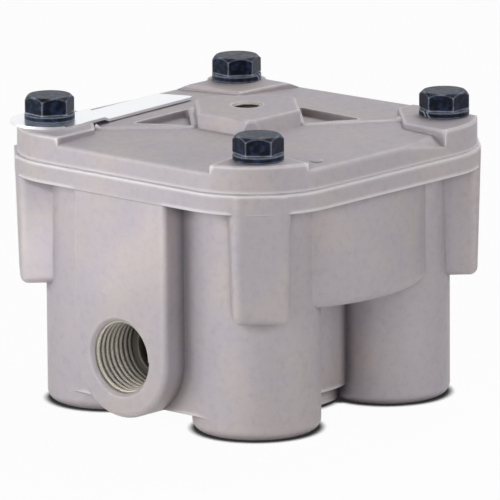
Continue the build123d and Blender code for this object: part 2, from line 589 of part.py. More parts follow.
def relay_piston():
    """Dished piston with ribs, an O-ring groove and a stem that ends in the exhaust seat."""
    shape = disc(PISTON_RADIUS, PISTON_BOTTOM_Z, PISTON_TOP_Z)
    dish_bottom = PISTON_BOTTOM_Z + PISTON_WEB_THICKNESS
    boss_radius, dish_radius = PISTON_BOSS_DIAMETER / 2, PISTON_RADIUS - PISTON_SKIRT_WALL
    shape -= ring(boss_radius, dish_radius, dish_bottom, PISTON_TOP_Z + OVERCUT)
    rib_bottom = dish_bottom - OVERLAP
    rib_height = PISTON_TOP_Z - PISTON_RIB_DROP - rib_bottom
    rib = Pos(boss_radius - OVERLAP, 0, rib_bottom) * Box(
        dish_radius - boss_radius + 2 * OVERLAP, PISTON_RIB_THICKNESS, rib_height,
        align=(Align.MIN, Align.CENTER, Align.MIN)
    )
    for index in range(PISTON_RIB_COUNT):
        shape += Rot(0, 0, index * 360 / PISTON_RIB_COUNT) * rib
    groove_bottom = BORE_RADIUS - O_RING_RUNNING_GAP - O_RING_CORD - O_RING_SEAT_GAP
    half = O_RING_CORD / 2 + O_RING_SIDE_GAP
    shape -= ring(groove_bottom, PISTON_RADIUS + OVERCUT, PISTON_RING_Z - half, PISTON_RING_Z + half)
    stem_radius = PISTON_STEM_DIAMETER / 2
    recess_radius = PISTON_STEM_RECESS_DIAMETER / 2
    shape += disc(stem_radius, EXHAUST_LIP_Z, PISTON_BOTTOM_Z + OVERLAP)
    shape -= disc(recess_radius, EXHAUST_LIP_Z - OVERCUT, EXHAUST_LIP_Z + PISTON_STEM_RECESS_DEPTH)
    lip_outer = recess_radius + EXHAUST_LIP_WIDTH
    lip_top = EXHAUST_LIP_Z + EXHAUST_LIP_HEIGHT
    return shape - ring(lip_outer, stem_radius + OVERCUT, EXHAUST_LIP_Z - OVERCUT, lip_top)


def piston_o_ring():
    """Rubber ring that runs in the chamber bore."""
    centre = BORE_RADIUS - O_RING_RUNNING_GAP - O_RING_CORD / 2
    return o_ring(centre, O_RING_CORD, PISTON_RING_Z)


def inlet_exhaust_valve():
    """Hollow valve: a flange under the rubber face and a tube down to the exhaust."""
    shape = disc(VALVE_FACE_RADIUS, VALVE_FLANGE_BOTTOM_Z, VALVE_FACE_BOTTOM_Z)
    shape += disc(VALVE_TUBE_DIAMETER / 2, VALVE_TUBE_BOTTOM_Z, VALVE_FLANGE_BOTTOM_Z + OVERLAP)
    shape = chamfer(edges_at(shape, VALVE_TUBE_BOTTOM_Z), VALVE_TUBE_CHAMFER)
    return shape - disc(VALVE_TUBE_BORE / 2, VALVE_TUBE_BOTTOM_Z - OVERCUT, VALVE_FACE_TOP_Z)


def valve_face():
    """Rubber face that closes on the inlet lip and on the piston's exhaust lip."""
    inner = VALVE_TUBE_BORE / 2 + VALVE_FACE_INSET
    shape = ring(inner, VALVE_FACE_RADIUS, VALVE_FACE_BOTTOM_Z, VALVE_FACE_TOP_Z)
    outer = shape.edges().filter_by(GeomType.CIRCLE).sort_by(lambda e: e.radius)[-2:]
    return fillet(outer.sort_by(Axis.Z)[-1], VALVE_FACE_ROUND)


def valve_retainer():
    """Pressed cup between the valve's flange and the spring."""
    top = VALVE_FLANGE_BOTTOM_Z
    inner = VALVE_TUBE_DIAMETER / 2 + VALVE_GUIDE_CLEARANCE
    outer = RETAINER_DIAMETER / 2
    shape = ring(inner, outer, top - RETAINER_THICKNESS, top)
    lip_bottom = top - RETAINER_THICKNESS - RETAINER_LIP_HEIGHT
    return shape + ring(outer - RETAINER_WALL, outer, lip_bottom, top - RETAINER_LIP_DROP)


def valve_spring():
    """Compression spring between the exhaust cover and the retainer."""
    bottom = EXHAUST_COVER_TOP_Z + SPRING_END_GAP + SPRING_WIRE / 2
    top = VALVE_FLANGE_BOTTOM_Z - RETAINER_THICKNESS - SPRING_END_GAP - SPRING_WIRE / 2
    radius = (SPRING_OUTER_DIAMETER - SPRING_WIRE) / 2
    path = Helix((top - bottom) / SPRING_TURNS, top - bottom, radius)
    section = Plane(origin=path @ 0, z_dir=path % 0) * Circle(SPRING_WIRE / 2)
    return Pos(0, 0, bottom) * sweep(section, path=path)


def exhaust_cover():
    """Plug in the core: guide tube for the valve, seal grooves, and a spider over the exhaust."""
    outer = CORE_BORE_RADIUS - EXHAUST_COVER_CLEARANCE
    shape = disc(outer, EXHAUST_COVER_BOTTOM_Z, EXHAUST_COVER_TOP_Z)
    shape = chamfer(edges_at(shape, EXHAUST_COVER_TOP_Z), EXHAUST_COVER_CHAMFER)
    shape += disc(EXHAUST_GUIDE_DIAMETER / 2, EXHAUST_COVER_TOP_Z - OVERLAP, EXHAUST_GUIDE_TOP_Z)
    guide_bore = VALVE_TUBE_DIAMETER / 2 + VALVE_GUIDE_CLEARANCE
    below = EXHAUST_COVER_BOTTOM_Z - OVERCUT
    shape -= disc(guide_bore, below, EXHAUST_GUIDE_TOP_Z + OVERCUT)
    shape -= disc(EXHAUST_RECESS_DIAMETER / 2, below, DIAPHRAGM_TOP_Z)
    spider_top = DIAPHRAGM_TOP_Z + EXHAUST_SPIDER_THICKNESS
    bore = EXHAUST_BORE_DIAMETER / 2
    shape -= disc(bore, below, spider_top + EXHAUST_GALLERY_HEIGHT)
    shape += disc(EXHAUST_SPIDER_HUB_DIAMETER / 2, DIAPHRAGM_TOP_Z, spider_top)
    arm = Pos(0, 0, DIAPHRAGM_TOP_Z) * Box(
        bore + OVERLAP, EXHAUST_SPIDER_ARM_WIDTH, EXHAUST_SPIDER_THICKNESS,
        align=(Align.MIN, Align.CENTER, Align.MIN)
    )
    for index in range(EXHAUST_SPIDER_ARMS):
        shape += Rot(0, 0, EXHAUST_SPIDER_ARM_TURN + index * 360 / EXHAUST_SPIDER_ARMS) * arm
    shape -= disc(DIAPHRAGM_HOLE_RADIUS, DIAPHRAGM_TOP_Z - OVERCUT, spider_top + OVERCUT)
    ring_bottom = CORE_BORE_RADIUS - 2 * O_RING_SEAT_GAP - COVER_O_RING_CORD
    half = COVER_O_RING_CORD / 2 + SMALL_RING_SIDE_GAP
    shape -= ring(ring_bottom, outer + OVERCUT, COVER_O_RING_Z - half, COVER_O_RING_Z + half)
    guide_groove = VALVE_TUBE_DIAMETER / 2 + O_RING_RUNNING_GAP + GUIDE_O_RING_CORD + O_RING_SEAT_GAP
    half = GUIDE_O_RING_CORD / 2 + SMALL_RING_SIDE_GAP
    return shape - ring(guide_bore - OVERLAP, guide_groove, GUIDE_O_RING_Z - half, GUIDE_O_RING_Z + half)


def exhaust_cover_o_ring():
    """Rubber ring between the exhaust cover and the core."""
    centre = CORE_BORE_RADIUS - O_RING_SEAT_GAP - COVER_O_RING_CORD / 2
    return o_ring(centre, COVER_O_RING_CORD, COVER_O_RING_Z)


def valve_guide_o_ring():
    """Rubber ring in the guide tube, round the valve's tube."""
    centre = VALVE_TUBE_DIAMETER / 2 + O_RING_RUNNING_GAP + GUIDE_O_RING_CORD / 2
    return o_ring(centre, GUIDE_O_RING_CORD, GUIDE_O_RING_Z)


def retaining_ring():
    """Internal snap ring with two pierced ears, in the groove under the exhaust cover."""
    top = EXHAUST_COVER_BOTTOM_Z - RETAINING_RING_SEAT_GAP
    bottom = top - RETAINING_RING_THICKNESS
    outer = CORE_GROOVE_RADIUS - RETAINING_RING_CLEARANCE
    inner = outer - RETAINING_RING_WIDTH
    shape = ring(inner, outer, bottom, top)
    shape -= Pos(0, inner, bottom) * Box(
        RETAINING_RING_GAP, 2 * RETAINING_RING_WIDTH, RETAINING_RING_THICKNESS,
        align=(Align.CENTER, Align.CENTER, Align.MIN)
    )
    ear_radius = RETAINING_RING_EAR_DIAMETER / 2
    ear_x, ear_y = RETAINING_RING_GAP / 2 + ear_radius, inner - ear_radius / 2
    for side in (1, -1):
        shape += disc(ear_radius, bottom, top, side * ear_x, ear_y)
        shape -= disc(RETAINING_RING_EAR_HOLE / 2, bottom, top, side * ear_x, ear_y)
    return shape


def exhaust_diaphragm():
    """Rubber disc that lies over the exhaust and lifts at its rim."""
    bottom = DIAPHRAGM_TOP_Z - DIAPHRAGM_THICKNESS
    return ring(DIAPHRAGM_HOLE_RADIUS, DIAPHRAGM_DIAMETER / 2, bottom, DIAPHRAGM_TOP_Z)


def diaphragm_washer():
    """Washer between the diaphragm and its screw."""
    top = DIAPHRAGM_TOP_Z - DIAPHRAGM_THICKNESS
    return ring(DIAPHRAGM_HOLE_RADIUS, DIAPHRAGM_WASHER_DIAMETER / 2, top - DIAPHRAGM_WASHER_THICKNESS, top)


def diaphragm_screw():
    """Round-headed screw that holds the diaphragm on the spider."""
    seat = DIAPHRAGM_TOP_Z - DIAPHRAGM_THICKNESS - DIAPHRAGM_WASHER_THICKNESS
    head_bottom = seat - DIAPHRAGM_SCREW_HEAD_HEIGHT
    head = disc(DIAPHRAGM_SCREW_HEAD_DIAMETER / 2, head_bottom, seat)
    head = fillet(edges_at(head, head_bottom), DIAPHRAGM_SCREW_HEAD_ROUND)
    head -= Pos(0, 0, head_bottom) * Box(
        DIAPHRAGM_SCREW_HEAD_DIAMETER, DIAPHRAGM_SCREW_SLOT_WIDTH, DIAPHRAGM_SCREW_SLOT_DEPTH,
        align=(Align.CENTER, Align.CENTER, Align.MIN)
    )
    return head + disc(DIAPHRAGM_SCREW_DIAMETER / 2, seat - OVERLAP, seat + DIAPHRAGM_SCREW_LENGTH)


def all_pieces():
    """Every separate piece by its node name."""
    pieces = {"body": body(), "cover": cover()}
    for corner in CORNERS:
        pieces["cover_screw_" + corner] = cap_screw(corner)
        pieces["lock_washer_" + corner] = lock_washer(corner)
    for make in (id_tag, cover_seal_ring, relay_piston, piston_o_ring, inlet_exhaust_valve, valve_face,
                 valve_retainer, valve_spring, exhaust_cover, exhaust_cover_o_ring, valve_guide_o_ring,
                 retaining_ring, exhaust_diaphragm, diaphragm_washer, diaphragm_screw):
        pieces[make.__name__] = make()
    return pieces


if __name__ == "__main__":
    os.makedirs("parts", exist_ok=True)
    for node, shape in all_pieces().items():
        export_step(shape, os.path.join("parts", node + ".step"))
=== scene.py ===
import logging
import math
from dataclasses import dataclass, field
from enum import Enum

import bpy
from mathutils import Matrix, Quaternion, Vector


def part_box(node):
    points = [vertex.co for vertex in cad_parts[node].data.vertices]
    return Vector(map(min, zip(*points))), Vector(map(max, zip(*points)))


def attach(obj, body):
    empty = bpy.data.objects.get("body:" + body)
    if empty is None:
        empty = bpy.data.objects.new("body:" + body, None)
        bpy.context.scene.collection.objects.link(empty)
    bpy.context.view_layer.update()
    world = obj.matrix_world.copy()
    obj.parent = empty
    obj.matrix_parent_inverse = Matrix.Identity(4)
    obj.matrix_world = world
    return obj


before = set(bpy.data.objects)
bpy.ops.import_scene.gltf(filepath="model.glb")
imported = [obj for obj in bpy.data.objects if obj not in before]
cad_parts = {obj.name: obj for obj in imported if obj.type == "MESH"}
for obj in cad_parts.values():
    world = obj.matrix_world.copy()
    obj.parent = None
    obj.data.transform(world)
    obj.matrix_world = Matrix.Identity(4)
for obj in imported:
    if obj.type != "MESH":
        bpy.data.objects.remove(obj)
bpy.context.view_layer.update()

MM = 0.001
INCH = 0.0254
LOG = logging.getLogger("relay_valve")

Tree = bpy.types.NodeTree
Socket = bpy.types.NodeSocket
Sockets = bpy.types.bpy_prop_collection

NOISE = "ShaderNodeTexNoise"
RANGE = "ShaderNodeMapRange"
MATH = "ShaderNodeMath"
VECTOR = "ShaderNodeVectorMath"
BUMP = "ShaderNodeBump"
MIX = "ShaderNodeMix"
OCCLUSION = "ShaderNodeAmbientOcclusion"
BEVEL = "ShaderNodeBevel"

# Nearly all of a noise lies between these two values.
NOISE_SPAN = (0.3, 0.7)
# Share of the rays into the metal that stay inside it, on a face and on a full edge.
EDGE_SPAN = (0.9, 0.66)
OCCLUSION_SAMPLES = 8
BEVEL_SAMPLES = 6

DOWN = Vector((0.0, 0.0, -1.0))
WELL_ABOVE = 1.0
QUARTER_TURN = math.radians(90)


class Pitch(Enum):
    """Threads per inch of the taper pipe threads on the valve."""

    HALF_INCH = 14.0
    THREE_EIGHTHS_INCH = 18.0
    EIGHTH_INCH = 27.0

    @property
    def step(self) -> float:
        """Length of one turn in metres."""
        return INCH / self.value


class Corner(Enum):
    """The four corners as the photograph shows them, with the signs of X and Y."""

    FRONT = (1, -1)
    LEFT = (-1, -1)
    RIGHT = (1, 1)
    BACK = (-1, 1)

    @property
    def label(self) -> str:
        """The corner's part in the names of pieces."""
        return self.name.lower()


def linear(code: str) -> tuple[float, float, float, float]:
    """Turns an sRGB hex colour into linear light.

    Args:
        code: Six hex digits after a hash.

    Returns:
        Red, green, blue and an alpha of one.
    """
    values = []
    for start in (1, 3, 5):
        share = int(code[start:start + 2], 16) / 255
        values.append(share / 12.92 if share <= 0.04045 else ((share + 0.055) / 1.055) ** 2.4)
    return values[0], values[1], values[2], 1.0


def scale_for(grain_mm: float) -> float:
    """Texture scale at which one grain of noise has the given size."""
    return 1 / (grain_mm * MM)


def outward(bearing: float, elevation: float) -> Vector:
    """Direction away from the valve.

    Args:
        bearing: Degrees from the supply side, -Y, towards +X.
        elevation: Degrees above the floor.

    Returns:
        The unit vector.
    """
    turn, tilt = math.radians(bearing), math.radians(elevation)
    level = math.cos(tilt)
    return Vector((math.sin(turn) * level, -math.cos(turn) * level, math.sin(tilt)))


def add_node(tree: Tree, kind: str, inputs: dict | tuple = (), output: int | str = 0,
             **settings: object) -> Socket | None:
    """Adds one node with its settings, values and incoming links.

    Args:
        tree: Tree that takes the node.
        kind: Blender's identifier of the node.
        inputs: Values, or output sockets to link, by input name or index or in the node's own order.
        output: Name or index of the output that the caller goes on with.
        **settings: Attributes of the node, such as its operation.

    Returns:
        The chosen output socket, or None for a node without outputs.
    """
    node = tree.nodes.new(kind)
    for name, value in settings.items():
        setattr(node, name, value)
    keyed = inputs if isinstance(inputs, dict) else dict(enumerate(inputs))
    for key, value in keyed.items():
        if isinstance(value, Socket):
            tree.links.new(value, node.inputs[key])
        else:
            node.inputs[key].default_value = value
    return node.outputs[output] if len(node.outputs) else None


def painted(tree: Tree, first: str, *layers: tuple[Socket, str]) -> Socket:
    """Lays colours over each other, each through its own mask.

    Args:
        tree: Tree of the material.
        first: Hex colour at the bottom.
        *layers: Mask and hex colour of each layer, from the bottom up.

    Returns:
        The mixed colour.
    """
    colour = linear(first)
    for mask, code in layers:
        colour = add_node(tree, MIX, {0: mask, 6: colour, 7: linear(code)}, 2, data_type="RGBA")
    return colour


def edge_mask(tree: Tree, reach_mm: float) -> Socket:
    """Finds outer edges, sharp or rounded, where a ray into the metal soon comes out again.

    Args:
        tree: Tree of the material.
        reach_mm: Width of the edge in millimetres.

    Returns:
        One on an outer edge, nought on a face.
    """
    kept_in = add_node(tree, OCCLUSION, {"Distance": reach_mm * MM}, "AO", samples=OCCLUSION_SAMPLES,
                       inside=True, only_local=True)
    return add_node(tree, RANGE, (kept_in, *EDGE_SPAN))


def seen_directly(tree: Tree) -> Socket:
    """Gives one to rays that show the set, straight, mirrored or through glass, and nought to others."""
    rays = add_node(tree, "ShaderNodeLightPath").node.outputs
    seen = add_node(tree, MATH, (rays["Is Camera Ray"], rays["Is Transmission Ray"]), operation="MAXIMUM")
    return add_node(tree, MATH, (seen, rays["Is Glossy Ray"]), operation="MAXIMUM")


@dataclass(frozen=True)
class Finish:
    """One procedural material. Each kind of finish adds its own nodes in `surface`."""

    name: str

    def build(self) -> bpy.types.Material:
        """Builds the material."""
        material = bpy.data.materials.new(self.name)
        material.use_nodes = True
        tree = material.node_tree
        tree.nodes.clear()
        place = add_node(tree, "ShaderNodeTexCoord", output="Object")
        shader = add_node(tree, "ShaderNodeBsdfPrincipled", self.surface(tree, place))
        add_node(tree, "ShaderNodeOutputMaterial", {"Surface": shader})
        return material

    def surface(self, tree: Tree, place: Socket) -> dict[str, object]:
        """Adds the pattern's nodes.

        Args:
            tree: Tree of the material.
            place: Object coordinates.

        Returns:
            Values and sockets for the shader's inputs.
        """
        raise NotImplementedError


@dataclass(frozen=True)
class PortZone:
    """A machined bore in a casting: everything near its axis, up to its depth, is cut metal."""

    centre: tuple[float, float, float]
    inward: tuple[float, float, float]
    radius: float
    depth: float
    mirrored: bool = False
    fade_from: float = 10.0 * MM
    fade_to: float = 18.0 * MM

    def masks(self, tree: Tree, place: Socket) -> tuple[Socket, Socket]:
        """Finds the bore's wall.

        Args:
            tree: Tree of the material.
            place: Object coordinates.

        Returns:
            A mask of the cut metal, and a mask that grows with the depth in it, for painted shade deep in
            the bore.
        """
        if self.mirrored:
            place = add_node(tree, VECTOR, (place,), operation="ABSOLUTE")
        offset = add_node(tree, VECTOR, (place, self.centre), operation="SUBTRACT")
        depth = add_node(tree, VECTOR, (offset, self.inward), "Value", operation="DOT_PRODUCT")
        on_axis = add_node(tree, VECTOR, {0: self.inward, "Scale": depth}, operation="SCALE")
        radial = add_node(tree, VECTOR, (offset, on_axis), operation="SUBTRACT")
        distance = add_node(tree, VECTOR, (radial,), "Value", operation="LENGTH")
        near = add_node(tree, MATH, (distance, self.radius), operation="LESS_THAN")
        reached = add_node(tree, MATH, (depth, self.depth), operation="LESS_THAN")
        cut = add_node(tree, MATH, (near, reached), operation="MULTIPLY")
        deeper = add_node(tree, RANGE, (depth, self.fade_from, self.fade_to))
        return cut, add_node(tree, MATH, (cut, deeper), operation="MULTIPLY")


@dataclass(frozen=True)
class CastAluminium(Finish):
    """Blasted aluminium casting: matt pale grey, faintly mauve, with sandy grain, a painted highlight on its
    outer edges, painted shade in its hollows and painted shade deep in its ports.
    """

    colour: str = "#B9B2B8"
    warm_colour: str = "#C2B8B5"
    cool_colour: str = "#A8A4AD"
    # Near white of the painted highlight on outer edges.
    highlight_colour: str = "#F0ECEF"
    # Dark grey of the painted shade in hollows.
    hollow_shade_colour: str = "#4B474F"
    cut_colour: str = "#C2BBB0"
    # Dark of the painted shade deep in a port.
    deep_shade_colour: str = "#4A4641"
    metallic: float = 0.3
    roughness: float = 0.56
    smoother: float = 0.05
    rougher: float = 0.08
    cut_roughness: float = 0.38
    cloud_mm: float = 17.0
    cloud_span: tuple[float, float] = (0.42, 0.62)
    cloud_share: float = 0.7
    speck_mm: float = 2.2
    speck_span: tuple[float, float] = (0.5, 0.75)
    speck_share: float = 0.4
    dimple_mm: float = 0.6
    wave_mm: float = 6.0
    corner_mm: float = 0.9
    edge_mm: float = 1.6
    # Painted highlight on edges: span of openness over which it fades in, and its strength.
    highlight_open_span: tuple[float, float] = (0.6, 0.92)
    highlight_share: float = 0.8
    hollow_mm: float = 6.0
    # Painted shade in hollows: span of openness over which it grows, and its strength.
    hollow_shade_open_span: tuple[float, float] = (0.85, 0.3)
    hollow_shade_share: float = 0.9
    ports: tuple[PortZone, ...] = ()

    def cut_masks(self, tree: Tree, place: Socket) -> tuple[Socket | float, Socket | float]:
        """Joins the masks of all ports.

        Args:
            tree: Tree of the material.
            place: Object coordinates.

        Returns:
            Masks of the cut metal and of its deep part, which gets painted shade, or plain noughts where the
            casting has no port.
        """
        cut = deep = 0.0
        for zone in self.ports:
            near, far = zone.masks(tree, place)
            cut = add_node(tree, MATH, (cut, near), operation="MAXIMUM")
            deep = add_node(tree, MATH, (deep, far), operation="MAXIMUM")
        return cut, deep

    def surface(self, tree: Tree, place: Socket) -> dict[str, object]:
        """Adds clouds, specks and dimples, a painted highlight on outer edges, painted shade in hollows, and
        cut ports with painted shade deep inside.
        """
        # Clouds are flow marks of the die, specks are oxide, and waves are the uneven skin of the casting.
        # Blasting leaves dimples of 0.2 mm, drawn three times as coarse because a pixel shows 0.3 mm.
        cloud = add_node(tree, NOISE, {"Vector": place, "Scale": scale_for(self.cloud_mm), "Detail": 3.0})
        speck = add_node(tree, NOISE, {
            "Vector": place, "Scale": scale_for(self.speck_mm), "Detail": 4.0, "Roughness": 0.6,
        })
        dimple = add_node(tree, NOISE, {
            "Vector": place, "Scale": scale_for(self.dimple_mm), "Detail": 3.0, "Roughness": 0.65,
        })
        wave = add_node(tree, NOISE, {"Vector": place, "Scale": scale_for(self.wave_mm)})
        cut, deep = self.cut_masks(tree, place)
        openness = add_node(tree, OCCLUSION, {"Distance": self.hollow_mm * MM}, "AO",
                            samples=OCCLUSION_SAMPLES, only_local=True)
        # Painted highlight: free outer edges are lightened, less where nearby metal closes them in.
        free = add_node(tree, RANGE, (openness, *self.highlight_open_span, 0.0, self.highlight_share))
        edge = edge_mask(tree, self.edge_mm)
        # Painted shade: surfaces closed in by nearby metal get darker.
        hollow_shade = add_node(tree, RANGE, (openness, *self.hollow_shade_open_span, 0.0, self.hollow_shade_share))
        uncut = add_node(tree, MATH, (1.0, cut), operation="SUBTRACT")
        base = painted(
            tree, self.colour,
            (add_node(tree, RANGE, (cloud, *self.cloud_span, 0.0, self.cloud_share)), self.warm_colour),
            (add_node(tree, RANGE, (speck, *self.speck_span, 0.0, self.speck_share)), self.cool_colour),
            # Painted highlight on outer edges.
            (add_node(tree, MATH, (edge, free), operation="MULTIPLY"), self.highlight_colour),
            # Painted shade in hollows, left out of cut ports.
            (add_node(tree, MATH, (hollow_shade, uncut), operation="MULTIPLY"), self.hollow_shade_colour),
            (cut, self.cut_colour),
            # Painted shade deep in a port.
            (deep, self.deep_shade_colour),
        )
        blasted = add_node(tree, RANGE, (speck, *NOISE_SPAN, self.roughness - self.smoother,
                                         self.roughness + self.rougher))
        rough = add_node(tree, MIX, {0: cut, 2: blasted, 3: self.cut_roughness})
        rounded = add_node(tree, BEVEL, {"Radius": self.corner_mm * MM}, samples=BEVEL_SAMPLES)
        uneven = add_node(tree, BUMP, {
            "Height": wave, "Strength": 0.3, "Distance": 0.4 * MM, "Normal": rounded,
        })
        bump = add_node(tree, BUMP, {
            "Height": dimple, "Strength": 0.5, "Distance": 0.12 * MM, "Normal": uneven,
        })
        return {"Base Color": base, "Metallic": self.metallic, "Roughness": rough, "Normal": bump}


@dataclass(frozen=True)
class CutAluminium(Finish):
    """Freshly cut aluminium: pale, yellowish from cutting oil, with painted shade that darkens it deep in a
    bore.
    """

    axis: str
    fade_from: float
    fade_to: float
    colour: str = "#EEE8DD"
    streak_colour: str = "#D8D1C6"
    # Dark of the painted shade deep in a bore.
    deep_shade_colour: str = "#4A4641"
    metallic: float = 0.1
    roughness: float = 0.45
    streak_mm: float = 0.6
    streak_span: tuple[float, float] = (0.35, 0.65)

    def surface(self, tree: Tree, place: Socket) -> dict[str, object]:
        """Adds tool streaks, a third as wide as the coarsest thread, and painted shade that darkens with
        depth.
        """
        streak = add_node(tree, NOISE, {"Vector": place, "Scale": scale_for(self.streak_mm)})
        along = add_node(tree, "ShaderNodeSeparateXYZ", (place,), self.axis)
        base = painted(
            tree, self.colour,
            (add_node(tree, RANGE, (streak, *self.streak_span)), self.streak_colour),
            # Painted shade, darker the deeper along the bore.
            (add_node(tree, RANGE, (along, self.fade_from, self.fade_to)), self.deep_shade_colour),
        )
        bump = add_node(tree, BUMP, {"Height": streak, "Strength": 0.3, "Distance": 0.03 * MM})
        return {"Base Color": base, "Metallic": self.metallic, "Roughness": self.roughness,
                "Normal": bump}


@dataclass(frozen=True)
class BlackOxide(Finish):
    """Black oxide on steel: nearly black with a blue sheen, dull with oil, and a painted highlight on its
    edges.
    """

    colour: str = "#0F1420"
    sheen_colour: str = "#26324C"
    # Pale blue grey of the painted highlight on edges.
    highlight_colour: str = "#AAB2C2"
    metallic: float = 0.25
    roughness: float = 0.4
    smoother: float = 0.08
    rougher: float = 0.12
    specular: float = 0.12
    patch_mm: float = 1.8
    sheen_span: tuple[float, float] = (0.46, 0.66)
    # Painted highlight strength in patches: span of the noise, and the faintest share.
    highlight_span: tuple[float, float] = (0.3, 0.5)
    faintest_highlight: float = 0.45
    grain_mm: float = 0.5
    corner_mm: float = 0.4
    edge_mm: float = 0.7

    def surface(self, tree: Tree, place: Socket) -> dict[str, object]:
        """Adds patches of oxide, the grain of the forged blank under it, and a painted highlight on edges
        that is stronger in some patches.
        """
        patch = add_node(tree, NOISE, {"Vector": place, "Scale": scale_for(self.patch_mm), "Detail": 3.0})
        grain = add_node(tree, NOISE, {"Vector": place, "Scale": scale_for(self.grain_mm)})
        # Painted highlight: its strength along the edges varies in patches.
        highlight_strength = add_node(tree, RANGE, (patch, *self.highlight_span, self.faintest_highlight, 1.0))
        edge = edge_mask(tree, self.edge_mm)
        base = painted(
            tree, self.colour,
            (add_node(tree, RANGE, (patch, *self.sheen_span)), self.sheen_colour),
            # Painted highlight on edges.
            (add_node(tree, MATH, (edge, highlight_strength), operation="MULTIPLY"), self.highlight_colour),
        )
        rough = add_node(tree, RANGE, (patch, *NOISE_SPAN, self.roughness - self.smoother,
                                       self.roughness + self.rougher))
        rounded = add_node(tree, BEVEL, {"Radius": self.corner_mm * MM}, samples=BEVEL_SAMPLES)
        bump = add_node(tree, BUMP, {
            "Height": grain, "Strength": 0.35, "Distance": 0.05 * MM, "Normal": rounded,
        })
        return {"Base Color": base, "Metallic": self.metallic, "Roughness": rough,
                "Specular IOR Level": self.specular, "Normal": bump}


@dataclass(frozen=True)
class BrightSheet(Finish):
    """Bright rolled aluminium sheet: nearly white, with faint rolling lines along its length."""

    colour: str = "#EEF0F3"
    line_colour: str = "#E2E5E9"
    roughness: float = 0.28
    line_mm: float = 1.6
    line_share: float = 0.35
    squeeze: tuple[float, float, float] = (6.0, 0.25, 1.0)

    def surface(self, tree: Tree, place: Socket) -> dict[str, object]:
        """Adds rolling lines: noise that is six times narrower across and four times longer along."""
        drawn = add_node(tree, "ShaderNodeMapping", {"Vector": place, "Scale": self.squeeze})
        lines = add_node(tree, NOISE, {"Vector": drawn, "Scale": scale_for(self.line_mm)})
        mask = add_node(tree, RANGE, (lines, *NOISE_SPAN, 0.0, self.line_share))
        bump = add_node(tree, BUMP, {"Height": lines, "Strength": 0.15, "Distance": 0.03 * MM})
        return {"Base Color": painted(tree, self.colour, (mask, self.line_colour)), "Metallic": 1.0,
                "Roughness": self.roughness, "Normal": bump}


@dataclass(frozen=True)
class PlainMetal(Finish):
    """Turned or plated inner metal: an even colour with fine machining marks."""

    colour: str
    roughness: float
    smoother: float = 0.05
    rougher: float = 0.08
    mark_mm: float = 0.5
    mark_colour: str = "#8F8F90"
    mark_share: float = 0.18

    def surface(self, tree: Tree, place: Socket) -> dict[str, object]:
        """Adds the marks, drawn at half a millimetre because real ones are finer than a pixel."""
        marks = add_node(tree, NOISE, {"Vector": place, "Scale": scale_for(self.mark_mm)})
        mask = add_node(tree, RANGE, (marks, *NOISE_SPAN, 0.0, self.mark_share))
        rough = add_node(tree, RANGE, (marks, *NOISE_SPAN, self.roughness - self.smoother,
                                       self.roughness + self.rougher))
        bump = add_node(tree, BUMP, {"Height": marks, "Strength": 0.2, "Distance": 0.04 * MM})
        return {"Base Color": painted(tree, self.colour, (mask, self.mark_colour)), "Metallic": 1.0,
                "Roughness": rough, "Normal": bump}


@dataclass(frozen=True)
class MouldedRubber(Finish):
    """Moulded nitrile rubber: near black and dull, with a faint bloom."""

    colour: str = "#1B1B1D"
    bloom_colour: str = "#34343A"
    roughness: float = 0.62
    bloom_mm: float = 4.0
    bloom_span: tuple[float, float] = (0.4, 0.7)
    bloom_share: float = 0.4
    grain_mm: float = 0.4

    def surface(self, tree: Tree, place: Socket) -> dict[str, object]:
        """Adds clouds of bloom and the grain of the mould."""
        bloom = add_node(tree, NOISE, {"Vector": place, "Scale": scale_for(self.bloom_mm), "Detail": 3.0})
        grain = add_node(tree, NOISE, {"Vector": place, "Scale": scale_for(self.grain_mm)})
        mask = add_node(tree, RANGE, (bloom, *self.bloom_span, 0.0, self.bloom_share))
        bump = add_node(tree, BUMP, {"Height": grain, "Strength": 0.25, "Distance": 0.04 * MM})
        return {"Base Color": painted(tree, self.colour, (mask, self.bloom_colour)),
                "Roughness": self.roughness, "Normal": bump}


def dress(node: str, material: bpy.types.Material) -> None:
    """Gives a CAD node its material.

    Args:
        node: Name of the CAD node.
        material: Finish for all its faces.
    """
    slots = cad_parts[node].data.materials
    slots.clear()
    slots.append(material)


def plain_copy(carrier: bpy.types.Object, name: str) -> bpy.types.Object:
    """Turns the evaluated object into a plain mesh object and deletes the carrier.

    Args:
        carrier: Object with its modifier.
        name: Name of the new object.

    Returns:
        The new object, at the origin, without modifiers.
    """
    graph = bpy.context.evaluated_depsgraph_get()
    mesh = bpy.data.meshes.new_from_object(carrier.evaluated_get(graph))
    mesh.name = name
    piece = bpy.data.objects.new(name, mesh)
    bpy.context.scene.collection.objects.link(piece)
    old = carrier.data
    carrier.modifiers.clear()
    bpy.data.objects.remove(carrier)
    bpy.data.meshes.remove(old)
    return piece


